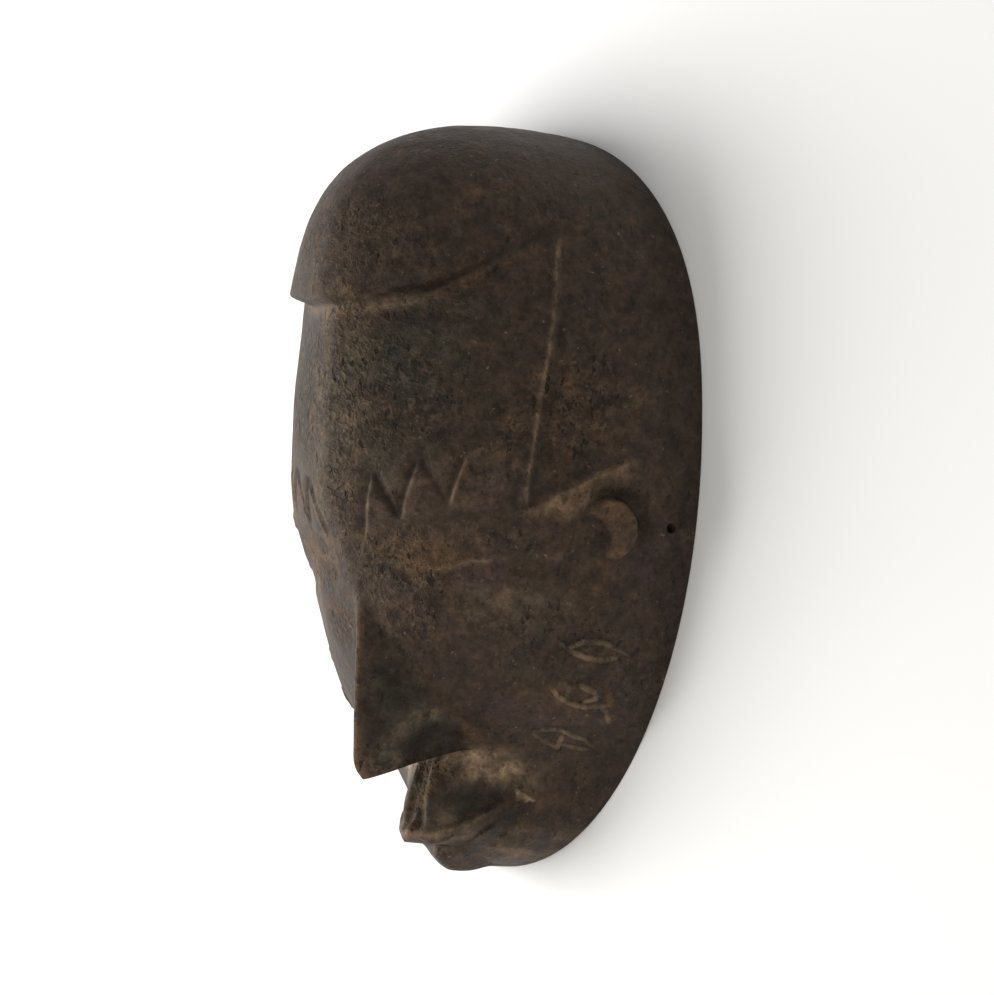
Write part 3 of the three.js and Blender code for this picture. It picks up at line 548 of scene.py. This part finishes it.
# The carved skin, with the masks that its surface is coloured and roughened by
def skinPoints(side, y):
    point = shellPoints(side, y)
    normal = shellNormals(side, y)
    away, depth = np.abs(point[:, 0]), point[:, 2].copy()
    mirrored = np.stack([away, point[:, 1], depth], -1)
    earHeight, crescent, scoop = earRelief(mirrored)
    eyeHeight, eyeCut, lidFold = eyeRelief(mirrored, away, y)
    zigzagHeight, zigzagCut, zigzagEdge = zigzagRelief(mirrored)
    markHeight = markRelief(mirrored)
    relief = hairRelief(away, y) + templeRelief(away, y) + earHeight + eyeHeight + zigzagHeight + markHeight
    long, short = maskSizes["wave"]["long"], maskSizes["wave"]["short"]
    wave = np.array([noise.noise(Vector(p / long)) + 0.5 * noise.noise(Vector(p / short + 4)) for p in point])
    relief = relief + maskSizes["wave"]["height"] * wave
    offRim = smoothStep(2, 12, depth)
    point = point + normal * (relief * offRim)[:, None]

    noseOut = noseRise(away, y, depth)
    mouthOut = np.maximum(upperLipRise(away, y, depth + noseOut), chinRise(away, y, depth + noseOut))
    point[:, 2] += noseOut + mouthOut
    chinTip = smoothStep(-134, -141, y) * smoothStep(20, 3, away)
    point[:, 1] -= nose["droop"] * noseOut + chin["jut"] * chinTip * smoothStep(12, 30, point[:, 2])
    fromNostril, aboveNostril = carveNostril(point, noseOut)
    notch = cornerNotch(away, y)
    point[:, 2] -= notch

    # Places that are coloured on their own
    onMark = markHeight / marks["height"]
    chip = smoothStep(0.02, 0.2, notch)
    hairFoot, upright, band = highlightLines(away, y)
    inChannel = smoothStep(5, 2.5, away) * smoothStep(-2.4, -0.6, point[:, 0]) * smoothStep(-104, -106, y)
    inChannel = inChannel * smoothStep(-130, -126, y)
    onFlank = smoothStep(1, 4, noseOut) * smoothStep(2, 5, away) * smoothStep(-50, -70, y)
    offNose = 1 - 0.85 * smoothStep(0.2, 1.5, noseOut)
    inScoop = bell(away - 15.5, 6) * bell(y + 118, 5)
    inNostril = smoothStep(1.12, 0.8, fromNostril) * smoothStep(0.1, 0.8, noseOut)
    inNostril = inNostril * smoothStep(-98.4, -97.6, y)
    wing = bell(fromNostril - 1.5, 0.26) * smoothStep(0, 0.4, aboveNostril) * smoothStep(0.5, 2, noseOut)
    # Lighter along the nose's ridge, towards its tip, and on the lip's tip: worn wood and a painted highlight on
    # the ridge
    ridgeWearAndHighlight = (0.35 + 0.5 * smoothStep(-78, -90, y)) * bell(away, 1.6) * (noseOut > 0.5)
    masks = {
        "wearAndHighlight": ridgeWearAndHighlight + bell(away, 3.5) * bell(y + 129, 3),
        # grime darkens the zigzag's cuts and the ear's crescent and holds soot patches; it is painted shade in
        # the ear's scoop, on the lip channel's near side, in the nostrils, on the nose's flank, in the upper
        # lip's scoop, along the shade lines and towards the rim
        "grimeAndShade": zigzagCut * 0.8 + scoop * 0.6 + inChannel * 0.35 + inNostril
            + 0.4 * onFlank * (1 - smoothStep(-84, -92, y)) + 0.6 * inScoop + shadeLines(away, y)
            + patches("sootAndShade", point) + 0.5 * smoothStep(24, 5, point[:, 2]) + 0.22 * crescent,
        "crust": patches("crust", point) + inChannel - 0.9 * eyeCut - 0.5 * zigzagCut,
        "warm": patches("warm", point) + 0.4 * wing + 0.5 * hairFoot + 0.5 * upright + 0.7 * band
            + crescent + 0.25 * onMark,
        "plum": patches("plum", point) + 0.3 * eyeCut,
        "olive": patches("olive", point) + 0.6 * onFlank + 0.6 * inScoop,
        # pale is mostly painted highlight, under the nose, along the lips, on the hair's foot, the temple's
        # welt, the band over the ear, the lid's fold and the zigzag's rising strokes; the chip, the marks and
        # the nostril's wing are made lighter too
        "paleAndHighlight": patches("paleAndHighlight", point) * offNose + lipHighlights(np.abs(point[:, 0]), point[:, 1])
            + 0.2 * wing + 0.85 * chip + 0.24 * onMark + 0.3 * hairFoot * smoothStep(42, 18, away)
            + 0.2 * upright + 0.18 * band + 0.28 * lidFold + 0.22 * zigzagEdge,
    }
    return point, {name: np.clip(value, 0, 1) for name, value in masks.items()}


# Guide lines: rows and columns of quads run along the steps, so their edges stay crisp

def rowLines(away):
    spread = smoothStep(22, 46, away)  # the rows under the nose part again over the cheek
    noseEdge = nose["bottom"] + 12 * spread
    noseWall = nose["wallHalf"] + 9 * spread
    hairHalf = hair["stepHalf"] / hair["acrossShare"]
    slantHalf = temple["stepHalf"] * meshSizes["slantMargin"]
    return [rim["top"] + 0 * away, hairLine(away) + hairHalf, hairLine(away) - hairHalf,
            slantEdge(away) + slantHalf, slantEdge(away) - slantHalf,
            noseEdge + noseWall, noseEdge - noseWall,
            lipEdge(away) + lip["wallHalf"], lipEdge(away) - lip["wallHalf"], rim["bottom"] + 0 * away]


def zoneOf(step, counts):
    edges = np.concatenate([[0], np.cumsum(counts)])
    zone = np.clip(np.searchsorted(edges, step, side="right") - 1, 0, len(counts) - 1)
    return zone, (step - edges[zone]) / np.array(counts)[zone]


def rowHeights(row, away):
    zone, share = zoneOf(row, meshSizes["rows"])
    lines = np.stack(rowLines(away))
    last = len(meshSizes["rows"]) - 1
    turn, power = meshSizes["crownTurn"], meshSizes["crownPower"]
    fromCrown = 1 - np.cos(share * math.pi / 2 * turn) ** power
    wholeCrown = 1 - math.cos(math.pi / 2 * turn) ** power
    crowded = np.where(zone == 0, fromCrown / wholeCrown, share)
    crowded = np.where(zone == last, np.sin(share * math.pi / 2), crowded)
    index = np.arange(len(row))
    return lines[zone, index] + (lines[zone + 1, index] - lines[zone, index]) * crowded


def columnSides(column, row):
    zone, share = zoneOf(np.abs(column), meshSizes["columns"])
    y = np.clip(rowHeights(row, np.full(len(row), 60.0)), -60, 110)  # the temple's line stands 60 out
    edge, half = templeEdge(y) / halfWidth(y), meshSizes["uprightMargin"] * temple["stepHalf"] / halfWidth(y)
    lines = np.stack([0 * edge, edge - half, edge + half, 1 + 0 * edge])
    index = np.arange(len(row))
    turn = np.arcsin(np.clip(lines[2], 0, 1) ** 0.75)
    toRim = np.sin(turn + (math.pi / 2 - turn) * share) ** (4 / 3)  # columns crowd towards the steep rim
    side = lines[zone, index] + (lines[np.minimum(zone + 1, 3), index] - lines[zone, index]) * share
    return np.sign(column) * np.where(zone == 2, toRim, side)


# Side and height of a vertex of the flat grid, whose u and v run from -1 to 1
def skinPlaces(u, v):
    row = (1 - v) / 2 * sum(meshSizes["rows"])
    side = columnSides(u * sum(meshSizes["columns"]), row)
    away = np.abs(side) * halfWidth(rowHeights(row, np.zeros(len(row))))
    return side, rowHeights(row, away)


# The skin: a flat grid, refined along the carved strokes, then laid on the form

def flatPlaces(verts):
    return np.array([vertex.co for vertex in verts], float)


def layOnForm(verts, points):
    for vertex, place in zip(verts, points * mm):
        vertex.co = place


# Splits the quads near strokes in two each way
def refineAlong(bm, strokes, reach):
    bm.faces.ensure_lookup_table()
    middles = np.array([face.calc_center_median() for face in bm.faces])
    side, y = skinPlaces(middles[:, 0], middles[:, 1])
    point = shellPoints(side, y)
    point[:, 0] = np.abs(point[:, 0])
    near = np.zeros(len(point), bool)
    for stroke in strokes:
        near |= strokeDistance(point, stroke, reach + 1)[0] < reach
    chosen = {edge for i in np.flatnonzero(near) for edge in bm.faces[i].edges}
    bmesh.ops.subdivide_edges(bm, edges=list(chosen), cuts=1, use_grid_fill=True)


# A circle about the ear's middle, as a stroke
def earCircle(x, y, radius):
    turns = np.linspace(0, 2 * math.pi, 40)
    return earPlace + np.outer(x + radius * np.cos(turns), earBack) + np.outer(y + radius * np.sin(turns), earUp)


def buildSkin():
    bm = bmesh.new()
    across, rows = 2 * sum(meshSizes["columns"]), sum(meshSizes["rows"])
    bmesh.ops.create_grid(bm, x_segments=across, y_segments=rows, size=1)
    carved = [*zigzagStrokes, *markStrokes, lidStroke, chipStroke]
    refineAlong(bm, [*carved, earCircle(*ear["outer"]), earCircle(*ear["bite"])], meshSizes["coarseReach"])
    refineAlong(bm, carved, meshSizes["fineReach"])
    flat = flatPlaces(bm.verts)
    side, y = skinPlaces(flat[:, 0], flat[:, 1])
    points, masks = skinPoints(side, y)
    for name, values in masks.items():
        layer = bm.verts.layers.float.new(name)
        for vertex, value in zip(bm.verts, values):
            vertex[layer] = value
    layOnForm(bm.verts, points)
    bmesh.ops.remove_doubles(bm, verts=bm.verts, dist=1e-6)
    return bm


# The back's hollow: a smaller copy of the shell, uneven with long shallow tool marks
def buildHollow(bm):
    hollow = maskSizes["hollow"]
    across, rows = meshSizes["hollowAcross"], meshSizes["hollowRows"]
    made = bmesh.ops.create_grid(bm, x_segments=across, y_segments=rows, size=1)["verts"]
    middle = (rim["top"] + rim["bottom"]) / 2
    half = (rim["top"] - rim["bottom"]) / 2
    flat = flatPlaces(made)
    side = np.sin(flat[:, 0] * math.pi / 2)
    y = middle + half * np.sin(flat[:, 1] * math.pi / 2)
    point = shellPoints(side, y)
    waves = np.array([noise.noise(Vector((p[0] / 6, p[1] / 18, p[2] / 18))) for p in point])
    deeper = hollow["toolMarks"] * waves * smoothStep(0, 12, point[:, 2])
    point = point * np.array([hollow["across"], 1, hollow["deep"]])
    point[:, 1] = middle + (point[:, 1] - middle) * hollow["along"]
    point[:, 2] += deeper
    layOnForm(made, point)
    bmesh.ops.reverse_faces(bm, faces=list({face for vertex in made for face in vertex.link_faces}))
    bmesh.ops.remove_doubles(bm, verts=made, dist=1e-6)


def buildMask():
    bm = buildSkin()
    buildHollow(bm)
    rimEdges = [edge for edge in bm.edges if edge.is_boundary]  # the skin's and the hollow's
    bmesh.ops.bridge_loops(bm, edges=rimEdges)
    bmesh.ops.recalc_face_normals(bm, faces=bm.faces)
    for face in bm.faces:
        face.smooth = True
    mesh = bpy.data.meshes.new("carvedMask")
    bm.to_mesh(mesh)
    bm.free()
    made = bpy.data.objects.new("carvedMask", mesh)
    bpy.context.scene.collection.objects.link(made)
    return made


mask = buildMask()
triangleCount = sum(len(polygon.vertices) - 2 for polygon in mask.data.polygons)
print("mask built:", len(mask.data.vertices), "vertices,", triangleCount, "triangles")


# Tie holes through the side walls, by one long drill across the mask

def cutTieHoles(body):
    hole = maskSizes["tieHole"]
    bpy.ops.mesh.primitive_cylinder_add(
        vertices=hole["drillSides"], radius=hole["radius"] * mm, depth=hole["drillLength"] * mm,
        location=(0, hole["height"] * mm, hole["depth"] * mm), rotation=(0, math.pi / 2, 0))
    drill = bpy.context.object
    cut = body.modifiers.new("tieHoles", "BOOLEAN")
    cut.operation = "DIFFERENCE"
    cut.solver = "MANIFOLD"
    cut.object = drill
    bpy.context.view_layer.objects.active = body
    bpy.ops.object.modifier_apply(modifier=cut.name)
    bpy.data.objects.remove(drill)


cutTieHoles(mask)
print("tie holes cut:", len(mask.data.vertices), "vertices")


# Materials

# A colour as Blender's shaders take it, from its sRGB hex
def linear(hexColour):
    parts = [int(hexColour[i:i + 2], 16) / 255 for i in (1, 3, 5)]
    return tuple(c / 12.92 if c <= 0.04045 else ((c + 0.055) / 1.055) ** 2.4 for c in parts) + (1.0,)


# Adds a shader node with its settings and gives one of its outputs. Inputs are values or other nodes' outputs,
# either by name or number or, in a list, in order.
def addNode(tree, kind, inputs, output=0, **settings):
    node = tree.nodes.new("ShaderNode" + kind)
    for name, value in settings.items():
        setattr(node, name, value)
    pairs = inputs.items() if isinstance(inputs, dict) else enumerate(inputs)
    for name, value in pairs:
        if isinstance(value, bpy.types.NodeSocket):
            tree.links.new(value, node.inputs[name])
        else:
            node.inputs[name].default_value = value
    return node.outputs[output] if node.outputs else node


woodLook = {
    "body": "#352a22",      # smoked brown
    "warm": "#5b4532",      # tan; also laid on as painted highlight along the hair's foot, the temple's line and the band over the ear
    "olive": "#33332a",     # grey-green bloom
    "plum": "#35282b",      # purple-grey
    "ridge": "#84705a",     # dry crests of the crust
    "paleAndHighlight": "#9a846a",      # dusty, light; mostly laid on as painted highlight
    "wornAndHighlight": "#7a604c",      # bare edges, also laid on as painted highlight along the nose's ridge
    "grimeAndShade": "#120d09",     # soot in pits, and painted shade in hollows, creases and near the rim
    "sheen": "#f4e8dc",     # the patina's own warm shine
    "ior": 1.32,            # a dull skin of soot and dust, less glossy than bare wood
    "roughness": 0.56,
    "noises": {             # size in millimetres, detail, roughness
        "blotch": (30.0, 3, 0.5),
        "wave": (11.0, 3, 0.5),
        "mottle": (6.0, 5, 0.65),
        "net": (3.6, 3, 0.55),
        "scab": (2.4, 4, 0.6),
        "speck": (2.4, 3, 0.6),
        "fleck": (1.7, 3, 0.6),
        "grit": (0.9, 4, 0.6),
    },
    "driftSize": 12.0,      # edges of the blotches, in millimetres
    "crustSize": 3.4,       # cells of the crust
    "pitSize": 2.4,
    "warps": {"crust": (3.4, 1.1), "pit": (3.0, 0.8)},  # size and amount of the noise that bends a pattern
    "depths": {"wave": 1.3, "crust": 0.5, "mottle": 0.6, "grit": 0.22, "pit": 0.55},
    "broken": {             # how the mottle breaks up a mask: from, to, and the shares at both
        "paleAndHighlight": (0.3, 0.68, 0.58, 0.95),
        "wearAndHighlight": (0.3, 0.62, 0.25, 0.9),
        "grimeAndShade": (0.7, 0.35, 0.55, 0.9),
    },
    "netShare": 0.2,        # how strongly each shows over the colour
    "speckShare": 0.5,
    "pitShare": 0.68,
}


# Old carved wood, darkened by smoke and handling: a dull crusty patina with a weak warm shine, rubbed lighter on
# some edges and black in its pits; the skin's masks also lay painted highlights along edges and ridges and
# painted shade in cuts and hollows
def makeWood():
    material = bpy.data.materials.new("agedCarvedWood")
    material.use_nodes = True
    tree = material.node_tree
    tree.nodes.clear()
    perMm = 1 / mm
    times, plus, timesPlus = ({"operation": name} for name in ("MULTIPLY", "ADD", "MULTIPLY_ADD"))
    smooth = {"interpolation_type": "SMOOTHSTEP"}
    ofColours = {"output": 2, "data_type": "RGBA"}  # a Mix node's factor is input 0, its colours are 6 and 7

    place = addNode(tree, "TexCoord", {}, "Object")
    painted = {name: addNode(tree, "Attribute", {}, "Fac", attribute_name=name)
               for name in ("olive", "plum", "warm", "paleAndHighlight", "crust", "wearAndHighlight", "grimeAndShade")}
    noises = {}
    for name, (size, detail, roughness) in woodLook["noises"].items():
        noises[name] = addNode(tree, "TexNoise", {
            "Vector": place, "Scale": perMm / size, "Detail": detail, "Roughness": roughness})
    warped = {}
    for name, (size, amount) in woodLook["warps"].items():
        shift = addNode(tree, "TexNoise", {
            "Vector": place, "Scale": perMm / size, "Detail": 2, "Roughness": 0.55}, "Color")
        centred = addNode(tree, "VectorMath", [shift, (0.5, 0.5, 0.5)], operation="SUBTRACT")
        scaled = addNode(tree, "VectorMath", {0: centred, 3: amount * 2 * mm}, operation="SCALE")
        warped[name] = addNode(tree, "VectorMath", [place, scaled], operation="ADD")
    shares = {}
    for name, limits in woodLook["broken"].items():
        eased = addNode(tree, "MapRange", [noises["mottle"], *limits], **smooth)
        shares[name] = addNode(tree, "Math", [painted[name], eased], **times)

    # Soft blotches of four tones, their edges broken up
    colour = linear(woodLook["body"])
    for name, offset in (("olive", 0.011), ("plum", 0.023), ("warm", 0.037)):
        moved = addNode(tree, "Mapping", {"Vector": place, "Location": (offset, offset, 0)})
        drift = addNode(tree, "TexNoise", {
            "Vector": moved, "Scale": perMm / woodLook["driftSize"], "Detail": 5, "Roughness": 0.7})
        leaning = addNode(tree, "Math", [painted[name], 0.7], **times)
        drifting = addNode(tree, "Math", [drift, 2.0, -1.02], **timesPlus)
        amount = addNode(tree, "Math", [leaning, drifting], **plus)
        toned = addNode(tree, "MapRange", [amount, 0.0, 0.85, 0.0, 0.85], **smooth)
        colour = addNode(tree, "Mix", {0: toned, 6: colour, 7: linear(woodLook[name])}, **ofColours)
    colour = addNode(tree, "Mix", {0: shares["paleAndHighlight"], 6: colour, 7: linear(woodLook["paleAndHighlight"])}, **ofColours)
    broad = addNode(tree, "MapRange", [noises["mottle"], 0.28, 0.72, 0.5, 1.5], **smooth)
    small = addNode(tree, "MapRange", [noises["fleck"], 0.25, 0.75, 0.8, 1.2], **smooth)
    lightness = addNode(tree, "Math", [broad, small], **times)
    colour = addNode(tree, "VectorMath", {0: colour, 3: lightness}, operation="SCALE")

    # The crust: a broken net of fine ridges round darker scabs, strong where the mask says so
    spread = addNode(tree, "Math", [noises["blotch"], 1.2, -0.6], **timesPlus)
    crusted = addNode(tree, "Math", [painted["crust"], spread], **plus)
    crustMask = addNode(tree, "MapRange", [crusted, 0.0, 0.7, 0.15, 1], **smooth)
    cellInputs = {"Vector": warped["crust"], "Scale": perMm / woodLook["crustSize"]}
    cells = addNode(tree, "TexVoronoi", cellInputs, "Distance", feature="DISTANCE_TO_EDGE")
    cellTone = addNode(tree, "TexVoronoi", cellInputs, "Color")
    ridges = addNode(tree, "MapRange", [cells, 0.3, 0.05], **smooth)
    gaps = addNode(tree, "MapRange", [noises["net"], 0.44, 0.62], **smooth)
    net = addNode(tree, "Math", [ridges, gaps], **times)
    scabs = addNode(tree, "MapRange", [noises["scab"], 0.38, 0.6], **smooth)
    netHeight = addNode(tree, "Math", [net, 0.9], **times)
    scabHeight = addNode(tree, "Math", [scabs, 0.6], **times)
    raised = addNode(tree, "Math", [netHeight, scabHeight], **plus)
    crust = addNode(tree, "Math", [raised, crustMask], **times)
    darkCells = addNode(tree, "MapRange", [cellTone, 0.7, 0.25], **smooth)
    offScabs = addNode(tree, "MapRange", [scabs, 0.7, 0.2], **smooth)
    darkPlaces = addNode(tree, "Math", [darkCells, offScabs], **times)
    darkest = addNode(tree, "Math", [crustMask, 0.5], **times)
    darkShare = addNode(tree, "Math", [darkPlaces, darkest], **times)
    netPlaces = addNode(tree, "Math", [net, crustMask], **times)
    netShare = addNode(tree, "Math", [netPlaces, woodLook["netShare"]], **times)

    # Pits: small dark holes, longer than wide, and a few bare specks
    stretched = addNode(tree, "Mapping", {"Vector": warped["pit"], "Scale": (1, 0.55, 1)})
    pitNoise = addNode(tree, "TexNoise", {
        "Vector": stretched, "Scale": perMm / woodLook["pitSize"], "Detail": 2, "Roughness": 0.45})
    holes = addNode(tree, "MapRange", [pitNoise, 0.37, 0.3], **smooth)
    crowding = addNode(tree, "MapRange", [crustMask, 0.1, 0.8, 0.5, 1], **smooth)
    pits = addNode(tree, "Math", [holes, crowding], **times)
    pitShare = addNode(tree, "Math", [pits, woodLook["pitShare"]], **times)
    specks = addNode(tree, "MapRange", [noises["speck"], 0.66, 0.74], **smooth)
    speckShare = addNode(tree, "Math", [specks, woodLook["speckShare"]], **times)

    # Laid over in turn: the crust's dark cells and light crests, specks, the wear mask with its painted
    # highlight, the grime mask with its painted shade, and the pits
    for share, tone in ((darkShare, "grimeAndShade"), (netShare, "ridge"), (speckShare, "ridge"),
                        (shares["wearAndHighlight"], "wornAndHighlight"), (shares["grimeAndShade"], "grimeAndShade"), (pitShare, "grimeAndShade")):
        colour = addNode(tree, "Mix", {0: share, 6: colour, 7: linear(woodLook[tone])}, **ofColours)

    sunkPits = addNode(tree, "Math", [pits, -1.0], **times)
    heights = {"wave": noises["wave"], "crust": crust, "mottle": noises["mottle"],
               "grit": noises["grit"], "pit": sunkPits}
    bump = {}
    for name, height in heights.items():
        depth = woodLook["depths"][name] * mm
        bump = {"Normal": addNode(tree, "Bump", {"Height": height, "Strength": 1.0, "Distance": depth, **bump})}
    uneven = addNode(tree, "MapRange", [noises["mottle"], 0.3, 0.7, -0.06, 0.1], **smooth)
    rough = addNode(tree, "Math", [uneven, woodLook["roughness"]], **plus)
    rougher = addNode(tree, "Math", [crustMask, 0.1], **times)
    rough = addNode(tree, "Math", [rough, rougher], **plus)
    shader = addNode(tree, "BsdfPrincipled", {
        "Base Color": colour, "Roughness": rough, "IOR": woodLook["ior"],
        "Specular Tint": linear(woodLook["sheen"]), **bump})
    addNode(tree, "OutputMaterial", [shader])
    return material


mask.data.materials.clear()
mask.data.materials.append(makeWood())
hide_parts("mask")
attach(mask, "root")
print("wood laid on")


# Stage, lights and camera

# Sizes and distances are in metres; a light's direction runs right, up and back along the camera's axes
stageLook = {
    "floor": "#f5f4f2",     # matt white paint: it shows only soft shadows
    "floorRoughness": 0.9,
    "floorSize": 6.0,
    "floorDrop": 0.0002,    # just under the rim, so the two don't flicker
    "worldStrength": 0.5,
    "lights": {
        "keyLight": {"from": (-0.93, -0.08, 0.02), "power": 17.5, "size": 0.9, "away": 1.1,
                     "colour": "#ffffff"},
        "fillLight": {"from": (0.15, -0.7, 0.6), "power": 4.0, "size": 1.0, "away": 1.4,
                      "colour": "#fff3e4"},
    },
}

# Turns in degrees, the aim and distance in millimetres, the lens and sensor as a camera's
cameraLook = {
    "yaw": 40.3, "pitch": -5.7, "roll": 1.3,
    "aim": (0, 0, 45), "distance": 1200,
    "lens": 114.2, "sensor": 36, "shift": (0.0573, -0.007),
}


# Right, up and back of the camera, from its turn round the face
def cameraAxes():
    yaw, pitch, roll = (math.radians(cameraLook[name]) for name in ("yaw", "pitch", "roll"))
    back = Vector((math.sin(yaw) * math.cos(pitch), math.sin(pitch), math.cos(yaw) * math.cos(pitch)))
    up = (Vector((0, 1, 0)) - back * back.y).normalized()
    right = up.cross(back)
    rolled = math.cos(roll) * right + math.sin(roll) * up
    return rolled, back.cross(rolled), back


cameraRight, cameraUp, cameraBack = cameraAxes()
aim = Vector(cameraLook["aim"]) * mm

cameraData = bpy.data.cameras.new("camera")
cameraData.lens = cameraLook["lens"]
cameraData.sensor_width = cameraLook["sensor"]
cameraData.shift_x, cameraData.shift_y = cameraLook["shift"]
camera = bpy.data.objects.new("camera", cameraData)
bpy.context.scene.collection.objects.link(camera)
cameraPlace = Matrix.Translation(aim + cameraBack * cameraLook["distance"] * mm)
cameraTurn = Matrix((cameraRight, cameraUp, cameraBack)).transposed().to_4x4()
camera.matrix_world = cameraPlace @ cameraTurn
bpy.context.scene.camera = camera

bpy.ops.mesh.primitive_plane_add(size=stageLook["floorSize"], location=(0, 0, -stageLook["floorDrop"]))
floor = bpy.context.object
floor.name = "floor"
floorMaterial = bpy.data.materials.new("matFloorPaint")
floorMaterial.use_nodes = True
floorShader = floorMaterial.node_tree.nodes["Principled BSDF"]
floorShader.inputs["Base Color"].default_value = linear(stageLook["floor"])
floorShader.inputs["Roughness"].default_value = stageLook["floorRoughness"]
floor.data.materials.append(floorMaterial)

# Square soft lights that look at the mask
for name, look in stageLook["lights"].items():
    lamp = bpy.data.lights.new(name, "AREA")
    lamp.energy = look["power"]
    lamp.color = linear(look["colour"])[:3]
    lamp.size = look["size"]
    light = bpy.data.objects.new(name, lamp)
    toRight, toUp, toBack = look["from"]
    heading = (cameraRight * toRight + cameraUp * toUp + cameraBack * toBack).normalized()
    light.location = aim + heading * look["away"]
    light.rotation_mode = "QUATERNION"
    light.rotation_quaternion = heading.to_track_quat("Z", "Y")
    bpy.context.scene.collection.objects.link(light)

world = bpy.data.worlds.new("softRoom")
world.use_nodes = True
world.node_tree.nodes["Background"].inputs["Color"].default_value = (1, 1, 1, 1)
world.node_tree.nodes["Background"].inputs["Strength"].default_value = stageLook["worldStrength"]
bpy.context.scene.world = world
bpy.context.scene.view_settings.view_transform = "Standard"
bpy.context.scene.view_settings.look = "None"
print("stage set")
